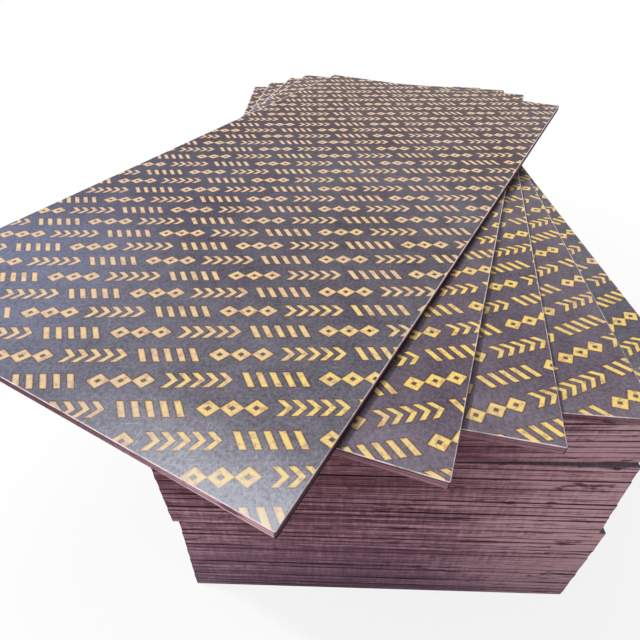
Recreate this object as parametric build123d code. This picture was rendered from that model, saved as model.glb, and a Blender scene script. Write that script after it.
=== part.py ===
"""A stack of film-faced plywood sheets, with its top four sheets turned out like a fan.

Millimetres, +Z up. The origin is the middle of the bottom sheet's underside. The sheets' long
side runs along Y, and the short side that a person walks up to faces -Y.
"""
from build123d import *
from math import sin
import os

# One sheet, as it is sold
SHEET_WIDTH = 1220.0
SHEET_LENGTH = 2440.0
SHEET_THICKNESS = 21.0
CORNER_CUT = 2.5  # the upright corners are blunted by a small cut, so that they don't splinter
ARRIS = 1.5  # the rims of both faces are broken at 45 degrees before the edges are painted

# The square part of the stack is three bundles, set down one on the other
LOWER_COUNT = 19
MIDDLE_COUNT = 15
TOP_COUNT = 12
LOWER_LEAN = 9.0  # how far the lower bundle leans to the right, from its first sheet to its last
LEDGE = 19.0  # the middle bundle is set this far out over the lower one's left side
MIDDLE_LEAN = -8.0  # how far the middle bundle leans, here to the left
TOP_STEP = 2.0  # the top bundle is set this far to the right of the middle one's last sheet
TOP_TURN = -1.3  # degrees clockwise, so this one shows a wedge of film at the front right
SIDE_SLIP = 0.6  # how far a sheet lies off its bundle's line, sideways
END_SLIP = 0.8  # the same, lengthwise
SLIP_RHYTHM = 2.4  # radians from one sheet's slip to the next, so that no pattern shows

# The four sheets on top were turned clockwise about a place near the left side
PIVOT_FROM_SIDE = 70.0
PIVOT_PAST_MIDDLE = 315.0
# Each one's turn in degrees, and how far it then slid to the right and lengthwise, lowest first
FAN = [
    (4.0, 0.0, -6.0),
    (11.5, 1.0, 28.0),
    (18.5, -13.0, 23.0),
    (27.9, 12.0, -9.0),
]


def plywood_sheet():
    """One sheet lying flat, with the middle of its underside at the origin."""
    outline = Rectangle(SHEET_WIDTH, SHEET_LENGTH)
    outline = chamfer(outline.vertices(), CORNER_CUT)
    sheet = extrude(outline, SHEET_THICKNESS)
    faces = sheet.faces().sort_by(Axis.Z)
    return chamfer(faces[0].edges() + faces[-1].edges(), ARRIS)


def bundle(name, count, first_course, start, lean=0.0, turn=0.0):
    """A bundle's sheets by name and place, each a little off the line that the bundle leans along."""
    for number in range(count):
        sideways = start + lean * number / (count - 1) + SIDE_SLIP * sin(SLIP_RHYTHM * number)
        lengthwise = END_SLIP * sin(2 * SLIP_RHYTHM * number + 1)
        height = (first_course + number) * SHEET_THICKNESS
        yield f"{name}_sheet_{number + 1:02d}", Location((sideways, lengthwise, height), (0, 0, -turn))


def fan(first_course, start):
    """The four top sheets by name and place, turned about one point of the sheet under them."""
    under = Vector(start, 0)
    pivot = under + Vector(PIVOT_FROM_SIDE - SHEET_WIDTH / 2, PIVOT_PAST_MIDDLE)
    for number, (turn, sideways, lengthwise) in enumerate(FAN):
        middle = pivot + (under - pivot).rotate(Axis.Z, -turn) + Vector(sideways, lengthwise)
        height = (first_course + number) * SHEET_THICKNESS
        yield f"fanned_sheet_{number + 1}", Location((middle.X, middle.Y, height), (0, 0, -turn))


def stack():
    """Every sheet's name and place, from the floor up."""
    middle_start = LOWER_LEAN - LEDGE
    top_start = middle_start + MIDDLE_LEAN + TOP_STEP
    middle_course = LOWER_COUNT
    top_course = middle_course + MIDDLE_COUNT
    yield from bundle("lower", LOWER_COUNT, 0, 0.0, LOWER_LEAN)
    yield from bundle("middle", MIDDLE_COUNT, middle_course, middle_start, MIDDLE_LEAN)
    yield from bundle("top", TOP_COUNT, top_course, top_start, turn=TOP_TURN)
    yield from fan(top_course + TOP_COUNT, top_start)


os.makedirs("parts", exist_ok=True)
sheet = plywood_sheet()
for name, place in stack():
    export_step(place * sheet, f"parts/{name}.step")
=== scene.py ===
"""A stack of film-faced plywood sheets: the finish of every sheet, and the stage that shows them.

Metres, +Z up. The origin is the middle of the bottom sheet's underside, and the sheets' long side
runs along Y.
"""
import math

import bmesh
import bpy
from bpy.props import FloatProperty, FloatVectorProperty, PointerProperty, StringProperty
from mathutils import Euler, Matrix, Vector


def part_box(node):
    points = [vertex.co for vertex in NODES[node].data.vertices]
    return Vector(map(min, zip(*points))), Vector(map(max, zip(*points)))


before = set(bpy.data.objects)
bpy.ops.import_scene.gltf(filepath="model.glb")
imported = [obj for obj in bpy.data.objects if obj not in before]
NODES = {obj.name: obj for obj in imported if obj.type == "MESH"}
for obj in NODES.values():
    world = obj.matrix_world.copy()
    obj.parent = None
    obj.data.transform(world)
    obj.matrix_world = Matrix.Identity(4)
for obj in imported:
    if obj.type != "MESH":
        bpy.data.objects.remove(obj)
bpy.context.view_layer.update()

bl_info = {
    "name": "Plywood Stack",
    "version": (1, 0, 0),
    "blender": (4, 5, 0),
    "location": "3D View > Sidebar > Plywood",
    "description": "Finishes a stack of film-faced plywood sheets and sets its stage",
    "category": "Object",
}

# Every sheet of the stack is the same size, so the one on the floor gives it
LOWEST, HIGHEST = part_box("lower_sheet_01")
SHEET_WIDTH, SHEET_LENGTH, SHEET_THICKNESS = HIGHEST - LOWEST
MM = 0.001
ARRIS = 1.5 * MM  # how much of the rims of both faces is broken off, as on the frame's sheets
BUNDLES = ("lower", "middle", "top")

# What is printed in a repeat of a row
KINDS = 3  # slanted bars, a chain of lozenges and chevrons, each in its own part of the repeat
STROKES = 5  # in a group of bars or of chevrons
LOZENGES = 3  # in a chain

# The fine scratches lie three ways: each way's turn, and how long and how wide a scratch is
SCRATCHES = ((0.5, 90 * MM, 4 * MM), (-0.9, 60 * MM, 3.5 * MM), (1.7, 70 * MM, 4 * MM))

# The lamps are turned to this place in the stack, above its middle and a little nearer
LIT_PLACE = Vector((0.0, -0.3, 0.7))


def colour(red, green, blue):
    """A colour as a screen shows it, from 0 to 255, made the linear one that a socket takes."""
    shown = (red / 255, green / 255, blue / 255)
    return tuple(c / 12.92 if c <= 0.04045 else ((c + 0.055) / 1.055) ** 2.4 for c in shown)


class FilmSettings(bpy.types.PropertyGroup):
    """The phenolic film on both faces of a sheet, and what is printed on it."""

    film: FloatVectorProperty(
        name="Film",
        description="Colour of the clean film",
        subtype="COLOR",
        default=colour(43, 25, 43),
    )
    # The film turns to this tint towards its far end: a painted reflection
    painted_far_tint: FloatVectorProperty(
        name="Browned film",
        description="Colour of the clean film at the far end, which is browner",
        subtype="COLOR",
        default=colour(58, 22, 24),
    )
    # The three hazes are dusty film together with a painted sheen, and the cool one is also a
    # painted reflection of a bluer sky
    haze: FloatVectorProperty(
        name="Haze",
        description="Colour of the film where it is rubbed and dusty",
        subtype="COLOR",
        default=colour(177, 178, 190),
    )
    cool_haze: FloatVectorProperty(
        name="Cool haze",
        description="Colour of the dust towards the sheet's left side, where it is bluer",
        subtype="COLOR",
        default=colour(152, 167, 211),
    )
    warm_haze: FloatVectorProperty(
        name="Warm haze",
        description="Colour of the dust at the far end and on the half covered sheets",
        subtype="COLOR",
        default=colour(184, 172, 187),
    )
    ink: FloatVectorProperty(
        name="Ink",
        description="Colour of the printed marks",
        subtype="COLOR",
        default=colour(239, 212, 126),
    )
    # Also the ink's colour where painted reflection pales it towards the left and the far end
    pale_ink: FloatVectorProperty(
        name="Pale ink",
        description="Colour of the ink where it lies thin",
        subtype="COLOR",
        default=colour(221, 195, 166),
    )
    bead: FloatVectorProperty(
        name="Bead",
        description="Colour of the ink along a mark's outline, where it lies thick",
        subtype="COLOR",
        default=colour(198, 140, 70),
    )
    # The veil is dustiness on the ink together with a painted sheen
    veil: FloatVectorProperty(
        name="Veil",
        description="Colour of the dust that lies on the ink",
        subtype="COLOR",
        default=colour(236, 232, 230),
    )
    halo: FloatVectorProperty(
        name="Halo",
        description="Colour of the soaked border round each printed mark",
        subtype="COLOR",
        default=colour(48, 28, 26),
    )
    row_turn: FloatProperty(
        name="Row turn",
        description="How far the printed rows are turned from the sheet's short side",
        unit="ROTATION",
        default=math.radians(30.1),
    )
    row_pitch: FloatProperty(
        name="Row pitch",
        description="Distance from one printed row to the next",
        unit="LENGTH",
        default=73.4 * MM,
    )
    repeat: FloatProperty(
        name="Repeat",
        description="Length of a row after which its marks start again",
        unit="LENGTH",
        default=458 * MM,
    )
    mark_height: FloatProperty(
        name="Mark height",
        description="Height of a printed mark across its row",
        unit="LENGTH",
        default=40 * MM,
    )
    group_length: FloatProperty(
        name="Group length",
        description="Length of each of the three groups of marks in a repeat",
        unit="LENGTH",
        default=135 * MM,
    )
    stroke: FloatProperty(
        name="Stroke",
        description="Width of one printed stroke",
        unit="LENGTH",
        default=13.5 * MM,
    )
    roughness: FloatProperty(
        name="Roughness",
        description="Roughness of the film",
        subtype="FACTOR",
        min=0.0,
        max=1.0,
        default=0.32,
    )


class EdgeSettings(bpy.types.PropertyGroup):
    """The painted edges of a sheet, where its plies show."""

    paint: FloatVectorProperty(
        name="Paint",
        description="Colour of the edge paint",
        subtype="COLOR",
        default=colour(112, 76, 88),
    )
    # Also the colour of the painted light towards the right of the edges
    worn_paint: FloatVectorProperty(
        name="Worn paint",
        description="Colour of the paint where it is thin over the plies",
        subtype="COLOR",
        default=colour(180, 143, 151),
    )
    # Also the colour of the painted shade on the right-hand edges of the sheets whose rim is
    # chipped
    dark_paint: FloatVectorProperty(
        name="Dark paint",
        description="Colour of the paint where it ran together or took up dirt",
        subtype="COLOR",
        default=colour(64, 35, 47),
    )
    # Also the colour of the painted shadow at the foot of the right-hand edges of the sheets whose
    # rim is chipped
    joint: FloatVectorProperty(
        name="Joint",
        description="Colour in the joint between two sheets",
        subtype="COLOR",
        default=colour(26, 6, 15),
    )
    # This is painted shade: it darkens the paint under the fanned sheets and on their own edges,
    # where shade falls
    painted_shade: FloatVectorProperty(
        name="Sheltered paint",
        description="Colour of the paint under the fanned sheets, which the sun has not faded",
        subtype="COLOR",
        default=colour(72, 36, 46),
    )
    # Partly dirt splashed from the ground and partly a painted reflection of the sky
    violet_dust_and_reflection: FloatVectorProperty(
        name="Bloom",
        description="Violet cast of the paint low down on the stack",
        subtype="COLOR",
        default=colour(96, 76, 98),
    )
    rosy: FloatVectorProperty(
        name="Rosy paint",
        description="Colour of the paint where it is redder than elsewhere",
        subtype="COLOR",
        default=colour(138, 86, 96),
    )
    rim: FloatVectorProperty(
        name="Rim",
        description="Colour of the film's chipped rim",
        subtype="COLOR",
        default=colour(232, 216, 222),
    )
    rim_width: FloatProperty(
        name="Rim width",
        description="How far the film is chipped back from the sheet's outline",
        unit="LENGTH",
        default=0.5 * MM,
    )
    side_chipping: FloatProperty(
        name="Side chipping",
        description="How much further the film is chipped back along the two long sides",
        unit="LENGTH",
        default=0.9 * MM,
    )


class StageSettings(bpy.types.PropertyGroup):
    """The floor, the lights and the camera."""

    floor: FloatVectorProperty(
        name="Floor",
        description="Colour of the floor",
        subtype="COLOR",
        default=(0.86, 0.86, 0.86),
    )
    floor_reach: FloatProperty(
        name="Floor reach",
        description="Radius of the floor",
        unit="LENGTH",
        default=30.0,
    )
    sky: FloatProperty(
        name="Sky",
        description="Strength of the even light from all round",
        default=0.22,
    )
    sun: FloatProperty(
        name="Sun",
        description="Strength of the parallel light from high on the stack's left",
        default=1.7,
    )
    fill: FloatProperty(
        name="Fill",
        description="Power of the wide lamp in front of the stack, to the left",
        unit="POWER",
        default=150.0,
    )
    top: FloatProperty(
        name="Top",
        description="Power of the wide lamp over the stack",
        unit="POWER",
        default=75.0,
    )
    camera_place: FloatVectorProperty(
        name="Camera place",
        description="Where the camera stands",
        subtype="TRANSLATION",
        unit="LENGTH",
        default=(-0.1670, -1.9649, 1.7639),
    )
    camera_heading: FloatProperty(
        name="Camera heading",
        description="How far the camera is turned to the left from straight ahead",
        unit="ROTATION",
        default=math.radians(1.83),
    )
    camera_dip: FloatProperty(
        name="Camera dip",
        description="How far the camera looks down",
        unit="ROTATION",
        default=math.radians(39.03),
    )
    camera_roll: FloatProperty(
        name="Camera roll",
        description="How far the camera leans",
        unit="ROTATION",
        default=math.radians(-0.14),
    )
    lens: FloatProperty(
        name="Lens",
        description="Focal length in millimetres on a sensor 36 mm wide",
        default=28.2,
    )


class Value:
    """One output of a node, so that maths on it reads as a Python expression."""

    def __init__(self, finish, socket):
        self.finish = finish
        self.socket = socket

    def maths(self, operation, *values):
        return self.finish.node("ShaderNodeMath", {"operation": operation}, dict(enumerate(values)))

    def __add__(self, other):
        return self.maths("ADD", self, other)

    def __sub__(self, other):
        return self.maths("SUBTRACT", self, other)

    def __rsub__(self, other):
        return self.maths("SUBTRACT", other, self)

    def __mul__(self, other):
        return self.maths("MULTIPLY", self, other)

    def __truediv__(self, other):
        return self.maths("DIVIDE", self, other)

    def __abs__(self):
        return self.maths("ABSOLUTE", self)

    __radd__ = __add__
    __rmul__ = __mul__

    def floor(self):
        return self.maths("FLOOR", self)

    def fraction(self):
        return self.maths("FRACT", self)

    def least(self, other):
        return self.maths("MINIMUM", self, other)

    def most(self, other):
        return self.maths("MAXIMUM", self, other)

    def swing(self, reach):
        """What noise from 0 to 1 adds where it may raise or lower a value by half the reach."""
        return (self - 0.5) * reach

    def band(self, start, end, steepness, height):
        """A rounded band between two values, 0 outside them and no higher than height inside."""
        return ((self - start) * (self - end) * -steepness).most(0.0).least(height)

    def rise(self, start, end):
        """0 at start and 1 at end, with a smooth slope. It falls where start is the larger."""
        settings = {"interpolation_type": "SMOOTHSTEP"}
        sockets = {"Value": self, "From Min": start, "From Max": end}
        return self.finish.node("ShaderNodeMapRange", settings, sockets)


class Finish:
    """A material that is put together node by node."""

    def __init__(self, name):
        self.material = bpy.data.materials.new(name)
        self.material.use_nodes = True
        self.tree = self.material.node_tree
        self.tree.nodes.clear()

    def node(self, kind, settings=None, sockets=None, output=None):
        """Adds a node with its settings, then its sockets' values or links. Returns an output."""
        made = self.tree.nodes.new(kind)
        for name, value in (settings or {}).items():
            setattr(made, name, value)
        for key, value in (sockets or {}).items():
            if isinstance(key, int):
                socket = made.inputs[key]
            else:
                socket = next(s for s in made.inputs if s.name == key and s.enabled)
            if isinstance(value, Value):
                self.tree.links.new(value.socket, socket)
            else:
                socket.default_value = value
        outputs = [s for s in made.outputs if s.enabled and output in (None, s.name)]
        return Value(self, outputs[0]) if outputs else None

    def mix(self, share, first, second):
        """A colour between two, each a value or three numbers."""
        ends = [c if isinstance(c, Value) else (*c, 1.0) for c in (first, second)]
        sockets = {"Factor": share, "A": ends[0], "B": ends[1]}
        return self.node("ShaderNodeMix", {"data_type": "RGBA"}, sockets)

    def blend(self, share, first, second):
        """A number between two."""
        sockets = {"Factor": share, "A": first, "B": second}
        return self.node("ShaderNodeMix", {"data_type": "FLOAT"}, sockets)

    def point(self, x, y, z=0.0):
        return self.node("ShaderNodeCombineXYZ", None, {0: x, 1: y, 2: z})

    def split(self, vector):
        parts = self.node("ShaderNodeSeparateXYZ", None, {0: vector}).socket.node.outputs
        return [Value(self, part) for part in parts]

    def turned(self, vector, turn, centre=(0.0, 0.0, 0.0), scale=(1.0, 1.0, 1.0)):
        """A point in the axes of a centre that is turned about +Z, counted in steps of scale."""
        sockets = {
            "Vector": vector,
            "Location": centre,
            "Rotation": (0.0, 0.0, turn),
            "Scale": scale,
        }
        return self.node("ShaderNodeMapping", {"vector_type": "TEXTURE"}, sockets)

    def noise(self, vector, scale, detail, roughness, flat=False):
        settings = {"noise_dimensions": "2D" if flat else "3D"}
        sockets = {"Vector": vector, "Scale": scale, "Detail": detail, "Roughness": roughness}
        return self.node("ShaderNodeTexNoise", settings, sockets)

    def chance(self, number):
        """A random number from 0 to 1 that belongs to a whole number."""
        return self.node("ShaderNodeTexWhiteNoise", {"noise_dimensions": "1D"}, {"W": number})


def printed_marks(finish, film, along_row, across_row):
    """How far inside a printed mark a point lies, in metres, and negative outside.

    A row repeats three groups of marks: slanted bars, a chain of lozenges and chevrons. Each row
    starts a group and a half further on than the one before it.
    """
    cell_length = film.repeat / KINDS
    row = (across_row / film.row_pitch).floor()
    cell = along_row / cell_length + row * 1.5
    group = (cell / KINDS).fraction() * KINDS
    in_cell = cell.fraction() * cell_length
    from_middle = (across_row / film.row_pitch).fraction() * film.row_pitch - film.row_pitch / 2
    inside_row = film.mark_height / 2 - abs(from_middle)
    start = (cell_length - film.group_length) / 2
    step = film.group_length / STROKES

    def strokes(slant):
        """Parallel strokes that lean by a distance, counted from the start of the group."""
        place = in_cell - start + slant
        inside = film.stroke / 2 - abs((place / step).fraction() * step - step / 2)
        in_group = place.least(film.group_length - place)
        return inside.least(in_group)

    bars = strokes(from_middle * 0.4)
    chevrons = strokes(abs(from_middle) * 0.9 - film.mark_height * 0.2)
    lozenge = film.group_length / LOZENGES
    place = in_cell - start
    sideways = abs((place / lozenge).fraction() - 0.5) * 2
    reach = sideways + abs(from_middle) / (film.mark_height / 2)
    ring = film.stroke * 0.42 - abs(reach - 0.66) * (film.mark_height / 2) * 0.74
    lozenges = ring.least(place.least(film.group_length - place))
    first = group.rise(1.0, 1.001)
    second = group.rise(2.0, 2.001)
    marks = finish.blend(second, finish.blend(first, bars, lozenges), chevrons)
    return marks.least(inside_row)


def film_finish(finish, film, own, course, rubbed_and_sheen, ink_wear_and_reflection, printed, covered):
    """Colour, roughness and relief of the film.

    rubbed_and_sheen is how dusty and scuffed the film is and how strong its painted sheen, from 0
    up, ink_wear_and_reflection how far its ink is worn thin and paled by painted reflection, and
    printed how far its marks show. covered is 1 on a sheet that another one half covers, where the
    dusty haze and the painted sheen are warmer.
    """
    across, along, _ = finish.split(own)
    shifted = finish.point(across + course * 3.17, along + course * 1.71)
    clouds = finish.noise(shifted, 3.0, 5.0, 0.62, flat=True)
    smudges = finish.noise(shifted, 16.0, 4.0, 0.65, flat=True)
    speckle = finish.noise(shifted, 120.0, 4.0, 0.85, flat=True)
    scratches = []
    for turn, length, width in SCRATCHES:
        lie = finish.turned(shifted, turn, scale=(length, width, 1.0))
        scratches.append(finish.noise(lie, 1.0, 2.0, 0.6, flat=True).rise(0.64, 0.78))
    scratch = scratches[0].most(scratches[1]).most(scratches[2])

    # Dustiness and the painted sheen thin towards the far end, and on a sheet that isn't covered
    # also to the left
    dust_and_sheen = rubbed_and_sheen * 0.5 + (clouds - 0.42) * 0.3 + smudges.swing(0.26) + 0.165 + covered * 0.08
    uneven = across.rise(0.1, 0.6) * 0.035 - across.rise(0.0, -0.5) * 0.08
    uneven = uneven - along.rise(-0.4, 0.9) * 0.175
    dust_and_sheen = dust_and_sheen + uneven * (1 - covered) - along.rise(0.3, 1.0) * covered * 0.25
    dust_and_sheen = dust_and_sheen + scratch * (rubbed_and_sheen * 0.25 + 0.08) + speckle.swing(rubbed_and_sheen * 0.7 + 0.62)
    dust_and_sheen = (dust_and_sheen * 0.8).most(0.0).least(1.0)
    # From the near end to the far end the clean film's tint changes: a painted reflection
    clean = finish.mix(along.rise(-0.2, 1.1), film.film, film.painted_far_tint)
    haze = finish.mix(along.rise(0.0, 1.1).most(covered), film.haze, film.warm_haze)
    # Towards the left the haze is bluer: a painted reflection of the sky over dusty film
    cool = across.rise(0.35, -0.6)
    plain = finish.mix(dust_and_sheen, clean, finish.mix(cool * 0.8, haze, film.cool_haze))

    # Each course starts its rows elsewhere, and all of them so far on that no count is negative
    shift = finish.chance(course)
    rows = finish.turned(own, film.row_turn)
    along_row, across_row, _ = finish.split(rows)
    along_row = along_row + shift * film.repeat + 10 * film.repeat
    across_row = across_row + shift * 7.0 * film.row_pitch + 50 * film.row_pitch
    ragged = finish.noise(own, 420.0, 2.0, 0.6, flat=True).swing(3.2) * MM
    depth = printed_marks(finish, film, along_row, across_row) + ragged
    inked = depth.rise(-0.6 * MM, 0.6 * MM) * printed
    soaked = depth.rise(-3.0 * MM, -0.4 * MM) * printed

    # The ink is pale where it lies thin, and towards the left and the far end where painted
    # reflection pales it, brown where it pooled, and in specks worn to the film
    mottle = finish.noise(shifted, 55.0, 4.0, 0.7, flat=True)
    broad = finish.noise(shifted, 3.0, 3.0, 0.5, flat=True)
    thin = (mottle * 0.6 + broad * 0.4 + ink_wear_and_reflection).rise(0.42, 0.7)
    ink = finish.mix(thin, film.ink, film.pale_ink)
    worn = (speckle * 0.6 + mottle * 0.4).rise(0.5, 0.68) * 0.5
    pooled = depth.rise(2.8 * MM, 0.4 * MM).most(mottle.rise(0.5, 0.68) * 0.7)
    ink = finish.mix(pooled * 0.75, ink, film.bead)
    ink = finish.mix(worn, ink, plain)
    # Dustiness and painted sheen pale the ink near the scuffed end, and painted reflection pales it
    # more towards the far end
    ink = finish.mix(rubbed_and_sheen * rubbed_and_sheen * 0.12 + along.rise(-0.2, 1.2) * 0.22, ink, film.veil)
    bordered = finish.mix(soaked * (0.75 - rubbed_and_sheen * 0.4).most(0.1), plain, film.halo)
    shade = finish.mix(inked, bordered, ink)
    roughness = film.roughness + (smudges - 0.4) * 0.2 + scratch * 0.1 + inked * 0.1
    relief = speckle * 0.2 + scratch * 0.2 + inked * 0.25
    return shade, roughness, relief


def edge_finish(finish, edge, own, height, level, course, torn_and_shaded, painted_edge_shade):
    """Colour, roughness and relief of the painted edges, with their plies, joints and dirt.

    torn_and_shaded is how far the dark line under the film shows and how dark the painted shadow at
    the foot of the right-hand edges is, and painted_edge_shade how far painted shade darkens the
    paint all along the edge, both from 0 to 1.
    """
    across, along, _ = finish.split(own)
    upright = height / SHEET_THICKNESS

    def streaks(length, thickness, detail, roughness):
        """Streaks of about this length along the edge and this thickness up it, in metres."""
        lie = finish.point(across / length, along / length, height / thickness)
        return finish.noise(lie, 1.0, detail, roughness)

    tint = finish.chance(course)
    plies = streaks(0.5, 6.5 * MM, 3.0, 0.6)
    veins = streaks(0.22, 2.6 * MM, 3.0, 0.7)
    fibres = streaks(0.012, 1.4 * MM, 3.0, 0.7)
    runs = streaks(0.16, 9 * MM, 3.0, 0.6)
    patches = streaks(0.09, 20 * MM, 4.0, 0.6)
    broad = streaks(0.9, 0.4, 3.0, 0.5)
    brushed = streaks(0.012, 60 * MM, 3.0, 0.6)
    # Painted light makes the paint lighter towards the right
    painted_light_on_right = across.rise(0.1, 0.65)
    # Painted shade darkens the paint high up, away from the right end, under the fanned sheets
    painted_shade = height.rise(0.42, 0.68) * across.rise(0.5, 0.05)
    light = plies.swing(1.6) + veins.swing(3.0) + fibres.swing(1.2) + tint.swing(0.35)
    light = light + brushed.swing(1.0) + broad.swing(1.5) + painted_light_on_right * 0.85 + 0.52
    shade = finish.mix(light.rise(-0.2, 0.7), edge.dark_paint, edge.paint)
    shade = finish.mix(light.rise(0.45, 1.4), shade, edge.worn_paint)
    dirt = patches.rise(0.6, 0.66) * 0.85 + runs.rise(0.58, 0.67) * 0.7
    shade = finish.mix(dirt.least(1.0), shade, edge.dark_paint)
    # Painted shade under the fanned sheets, and on the fanned sheets' own edges by the given share
    shade = finish.mix((painted_shade * 0.6).most(painted_edge_shade), shade, edge.painted_shade)
    # A violet cast low down: partly dirt splashed from the ground, partly a painted reflection of
    # the sky
    violet_dust_and_reflection = height.rise(0.5, 0.0) * (1 - painted_light_on_right * 0.6) * 0.45
    shade = finish.mix(violet_dust_and_reflection, shade, edge.violet_dust_and_reflection)

    # The joints between the sheets gape by chance, and each more in some places than in others
    joint = (upright + 0.5).floor()
    from_joint = abs(upright - joint) * SHEET_THICKNESS
    strength = finish.chance(joint + 0.37)
    wander = finish.noise(finish.point(across * 2.4, along * 2.4, joint * 5.3), 1.0, 3.0, 0.6)
    strength = (strength * 0.9 + wander * 1.6 - 0.85).rise(0.0, 0.9)
    gap = (from_joint - strength * 1.9 * MM).rise(2.1 * MM, 0.4 * MM) * (strength * 0.85 + 0.15)
    shade = finish.mix(gap, shade, edge.joint)
    rosy = (broad * 0.5 + tint * 0.5).rise(0.35, 0.65) * height.rise(0.1, 0.7)
    shade = finish.mix(rosy * (1 - painted_shade) * 0.25 * (1 - gap), shade, edge.rosy)

    # Dark plies show where the rim is chipped, and a painted shadow darkens the right side's edge
    # there, most at its foot
    shade = finish.mix(level.band(0.78, 0.9, 160.0, 0.6) * torn_and_shaded, shade, edge.joint)
    shade = finish.mix(level.band(0.42, 0.6, 110.0, 0.5) * torn_and_shaded, shade, edge.dark_paint)
    right_side = across.rise(SHEET_WIDTH / 2 - 4 * MM, SHEET_WIDTH / 2 - 3 * MM)
    shade = finish.mix(level.rise(0.97, 0.9) * right_side * torn_and_shaded * 0.85, shade, edge.dark_paint)
    shade = finish.mix(level.rise(0.5, 0.3) * right_side * torn_and_shaded * 0.9, shade, edge.joint)
    roughness = 0.6 + fibres.swing(0.3) + dirt * 0.1
    relief = plies * 1.2 + veins * 0.8 + fibres * 0.4 - gap * 0.8
    return shade, roughness, relief


def place_of(name):
    """A sheet's middle and its turn about +Z, from its node's box and its long side's facing."""
    low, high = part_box(name)
    upright = [f for f in NODES[name].data.polygons if abs(f.normal.z) < 0.01]
    side = max(upright, key=lambda f: f.area).normal
    return (low + high) / 2, math.atan2(side.y * math.copysign(1, side.x), abs(side.x))


def sheet_finish(
    name, centre, turn, context, rim=0.0, wear_and_sheen=0.3, printed=1.0, covered=0.0, painted_edge_shade=0.0
):
    """The whole finish of a sheet: film on its faces, paint on its edges and a rim between them.

    rim is how far the chipped rim shows and how dark the painted shadow at the foot of the
    right-hand edges is, wear_and_sheen how dusty and worn the film is and how strong its painted
    sheen, and printed how far its marks show. covered and painted_edge_shade are told of at
    film_finish and edge_finish. All five go from 0 to 1.
    """
    film = context.scene.plywood_film
    edge = context.scene.plywood_edge
    finish = Finish(name)
    position = finish.node("ShaderNodeTexCoord", output="Object")
    normal = finish.node("ShaderNodeNewGeometry", output="Normal")
    own = finish.turned(position, turn, (centre.x, centre.y, 0.0))
    across, along, height = finish.split(own)
    facing = finish.split(normal)[2]
    inside = height - facing * (SHEET_THICKNESS / 2)
    course = (inside / SHEET_THICKNESS).floor()
    level = (height / SHEET_THICKNESS).fraction()
    from_side = SHEET_WIDTH / 2 - abs(across)
    from_end = SHEET_LENGTH / 2 - abs(along)

    # The film is paler at its near end, its near corner and its left part: dusty and scuffed, and
    # with a painted sheen
    near_corner = along.rise(-1.04, -1.24) * across.rise(0.0, 0.6)
    near_end = along.rise(-0.5, -1.15) * 0.35 + near_corner * 1.75
    left_part = across.rise(0.2, -0.5) * along.rise(-0.35, -0.9) * 0.5
    rubbed_and_sheen = (near_end + left_part) * wear_and_sheen
    # The ink pales towards the left and the far end by painted reflection, and wears thin where the
    # film is scuffed
    ink_wear_and_reflection = across.rise(0.6, -0.4) * 0.12 + along.rise(-1.2, 0.0) * 0.12 + 0.06
    ink_wear_and_reflection = ink_wear_and_reflection * wear_and_sheen * wear_and_sheen + along.rise(0.2, 1.2) * 0.15
    film_shade, film_rough, film_relief = film_finish(
        finish, film, own, course, rubbed_and_sheen, ink_wear_and_reflection, printed, covered
    )
    edge_shade, edge_rough, edge_relief = edge_finish(
        finish, edge, own, height, level, course, rim, painted_edge_shade
    )

    # The pale rim is where the film is chipped back from the outline, and the upper arris by it
    flat = abs(facing).rise(0.9, 0.96)
    steep = facing.rise(0.3, 0.4)
    chips = finish.noise(own, 160.0, 3.0, 0.65)
    far_left = along.rise(0.2, 1.0) * across.rise(0.0, -0.4)
    chipping = (along.rise(-1.2, -0.6) + far_left * 3) * edge.side_chipping
    from_outline = (from_side - chipping).least(from_end) - ARRIS
    chipped = from_outline + chips.swing(edge.rim_width) * 1.6
    rim_on_film = chipped.rise(edge.rim_width * 1.15, edge.rim_width * 0.85)
    patchy = finish.noise(own, 24.0, 3.0, 0.6).rise(0.3, 0.6) * 0.55 + 0.4
    rim_on_arris = (1 - flat) * steep * level.rise(0.93, 0.96) * 0.85
    rim_share = (flat * rim_on_film + rim_on_arris) * patchy * rim
    shade = finish.mix(flat, edge_shade, film_shade)
    shade = finish.mix(rim_share, shade, edge.rim)
    roughness = finish.blend(flat, edge_rough, film_rough)
    relief = finish.blend(flat, edge_relief, film_relief)
    bump = finish.node(
        "ShaderNodeBump",
        None,
        {"Strength": 0.6, "Distance": 0.3 * MM, "Height": relief},
    )
    shader = finish.node(
        "ShaderNodeBsdfPrincipled",
        None,
        {"Base Color": shade, "Roughness": roughness, "Normal": bump, "IOR": 1.2},
    )
    finish.node("ShaderNodeOutputMaterial", None, {"Surface": shader})
    return finish.material


def wear(name, material):
    """Gives a node of the frame its material in every slot."""
    for slot in NODES[name].material_slots:
        slot.material = material


def sheets_of(bundle):
    """The names of a bundle's sheets, from the lowest up."""
    return sorted(name for name in NODES if name.startswith(bundle + "_sheet_"))


class PLYWOOD_OT_finish_bundle(bpy.types.Operator):
    """Finish the sheets of one bundle, its top sheet by itself because some of its face may show"""

    bl_idname = "plywood.finish_bundle"
    bl_label = "Finish a bundle"

    bundle: StringProperty(
        name="Bundle",
        description="The word that the names of the bundle's sheets begin with",
        default="lower",
    )

    def execute(self, context):
        names = sheets_of(self.bundle)
        if not names:
            raise RuntimeError(f"no sheet's name begins with {self.bundle}")
        centre, turn = place_of(names[len(names) // 2])
        shared = sheet_finish(self.bundle + "_sheets", centre, turn, context, printed=0.0)
        for name in names[:-1]:
            wear(name, shared)
        last = names[-1]
        bare = float(self.bundle == BUNDLES[-1])
        wear(last, sheet_finish(last, *place_of(last), context, rim=bare, printed=bare))
        return {"FINISHED"}


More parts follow.
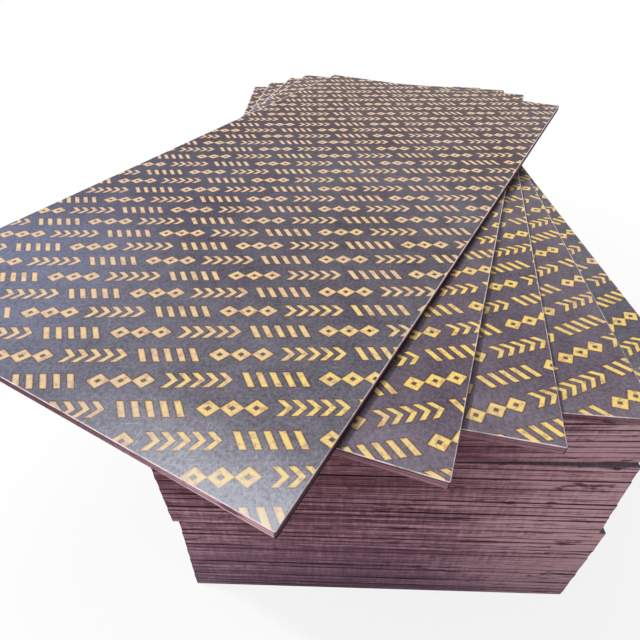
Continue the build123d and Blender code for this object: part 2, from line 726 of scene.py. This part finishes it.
class PLYWOOD_OT_finish_fan(bpy.types.Operator):
    """Finish the four turned sheets, each in its own axes"""

    bl_idname = "plywood.finish_fan"
    bl_label = "Finish the fanned sheets"

    def execute(self, context):
        names = sheets_of("fanned")
        for name in names:
            # The top fanned sheet is the dustiest and has the strongest painted sheen, and the half
            # covered ones have painted shade on their edges
            if name == names[-1]:
                look = {"wear_and_sheen": 1.0, "painted_edge_shade": 0.12}
            else:
                look = {"wear_and_sheen": 0.15, "covered": 1.0, "painted_edge_shade": 0.62}
            wear(name, sheet_finish(name, *place_of(name), context, rim=1.0, **look))
        return {"FINISHED"}


class PLYWOOD_OT_set_stage(bpy.types.Operator):
    """Lay the floor, hang the lights and stand the camera that sees the stack from its near end"""

    bl_idname = "plywood.set_stage"
    bl_label = "Set the stage"

    def execute(self, context):
        stage = context.scene.plywood_stage
        self.lay_floor(stage)
        self.light(context, stage)
        self.stand_camera(context, stage)
        context.scene.view_settings.view_transform = "Standard"
        return {"FINISHED"}

    def lay_floor(self, stage):
        mesh = bpy.data.meshes.new("floor")
        disc = bmesh.new()
        bmesh.ops.create_circle(disc, cap_ends=True, segments=96, radius=stage.floor_reach)
        disc.to_mesh(mesh)
        disc.free()
        floor = bpy.data.objects.new("floor", mesh)
        bpy.context.collection.objects.link(floor)
        finish = Finish("floor")
        position = finish.node("ShaderNodeTexCoord", output="Object")
        away = finish.node("ShaderNodeVectorMath", {"operation": "LENGTH"}, {0: position}, "Value")
        seen = finish.node("ShaderNodeLightPath", output="Is Camera Ray")
        matt = finish.node("ShaderNodeBsdfDiffuse", None, {"Color": (*stage.floor, 1.0)})
        white = finish.node("ShaderNodeEmission", None, {"Color": (1.0, 1.0, 1.0, 1.0)})
        # The camera sees the stack's shadow faintly round its foot, and plain white farther off
        share = (0.84 + away.rise(1.2, 3.0) * 0.16) * seen
        surface = finish.node("ShaderNodeMixShader", None, {0: share, 1: matt, 2: white})
        finish.node("ShaderNodeOutputMaterial", None, {"Surface": surface})
        floor.data.materials.append(finish.material)

    def light(self, context, stage):
        world = bpy.data.worlds.new("even_sky")
        context.scene.world = world
        world.use_nodes = True
        nodes = world.node_tree.nodes
        links = world.node_tree.links
        background = nodes["Background"]
        path = nodes.new("ShaderNodeLightPath")
        shown = path.outputs["Is Camera Ray"]
        for ray in ("Is Glossy Ray", "Is Transmission Ray"):
            either = nodes.new("ShaderNodeMath")
            either.operation = "MAXIMUM"
            links.new(shown, either.inputs[0])
            links.new(path.outputs[ray], either.inputs[1])
            shown = either.outputs[0]
        strength = nodes.new("ShaderNodeMapRange")
        strength.inputs["To Min"].default_value = stage.sky
        links.new(shown, strength.inputs["Value"])
        links.new(strength.outputs[0], background.inputs["Strength"])
        background.inputs["Color"].default_value = (1.0, 1.0, 1.0, 1.0)
        for name, place, size, power in (
            ("top", (-0.65, 0.4, 4.8), 2.2, stage.top),
            ("fill", (-3.4, -4.4, 1.3), 2.0, stage.fill),
        ):
            lamp = bpy.data.lights.new(name, "AREA")
            lamp.size = size
            lamp.energy = power
            self.hang(lamp, place).visible_glossy = False
        sun = bpy.data.lights.new("sun", "SUN")
        sun.energy = stage.sun
        sun.angle = math.radians(3.0)
        self.hang(sun, (-2.7, 0.25, 4.8))

    def hang(self, lamp, place):
        """Puts a lamp at a place, turned to the stack, and returns its holder."""
        holder = bpy.data.objects.new(lamp.name, lamp)
        bpy.context.collection.objects.link(holder)
        holder.location = place
        aim = LIT_PLACE - Vector(place)
        holder.rotation_euler = aim.to_track_quat("-Z", "Y").to_euler()
        return holder

    def stand_camera(self, context, stage):
        camera = bpy.data.objects.new("camera", bpy.data.cameras.new("camera"))
        bpy.context.collection.objects.link(camera)
        camera.data.lens = stage.lens
        heading = Euler((math.pi / 2 - stage.camera_dip, 0.0, stage.camera_heading)).to_matrix()
        turn = heading @ Matrix.Rotation(stage.camera_roll, 3, "Z")
        camera.matrix_world = Matrix.LocRotScale(Vector(stage.camera_place), turn, None)
        context.scene.camera = camera


class PLYWOOD_PT_stack(bpy.types.Panel):
    """Buttons and settings for the stack"""

    bl_label = "Plywood Stack"
    bl_idname = "PLYWOOD_PT_stack"
    bl_space_type = "VIEW_3D"
    bl_region_type = "UI"
    bl_category = "Plywood"

    def draw(self, context):
        layout = self.layout
        for bundle in BUNDLES:
            button = layout.operator("plywood.finish_bundle", text=f"Finish the {bundle} bundle")
            button.bundle = bundle
        layout.operator("plywood.finish_fan")
        layout.operator("plywood.set_stage")
        for name in SETTINGS:
            settings = getattr(context.scene, name)
            box = layout.box()
            for key in settings.__annotations__:
                box.prop(settings, key)


SETTINGS = {
    "plywood_film": FilmSettings,
    "plywood_edge": EdgeSettings,
    "plywood_stage": StageSettings,
}
CLASSES = (
    *SETTINGS.values(),
    PLYWOOD_OT_finish_bundle,
    PLYWOOD_OT_finish_fan,
    PLYWOOD_OT_set_stage,
    PLYWOOD_PT_stack,
)


def register():
    for cls in CLASSES:
        bpy.utils.register_class(cls)
    for name, settings in SETTINGS.items():
        setattr(bpy.types.Scene, name, PointerProperty(type=settings))


def unregister():
    for name in SETTINGS:
        delattr(bpy.types.Scene, name)
    for cls in reversed(CLASSES):
        bpy.utils.unregister_class(cls)


def main():
    register()
    for bundle in BUNDLES:
        bpy.ops.plywood.finish_bundle(bundle=bundle)
    bpy.ops.plywood.finish_fan()
    bpy.ops.plywood.set_stage()


if __name__ == "__main__":
    main()
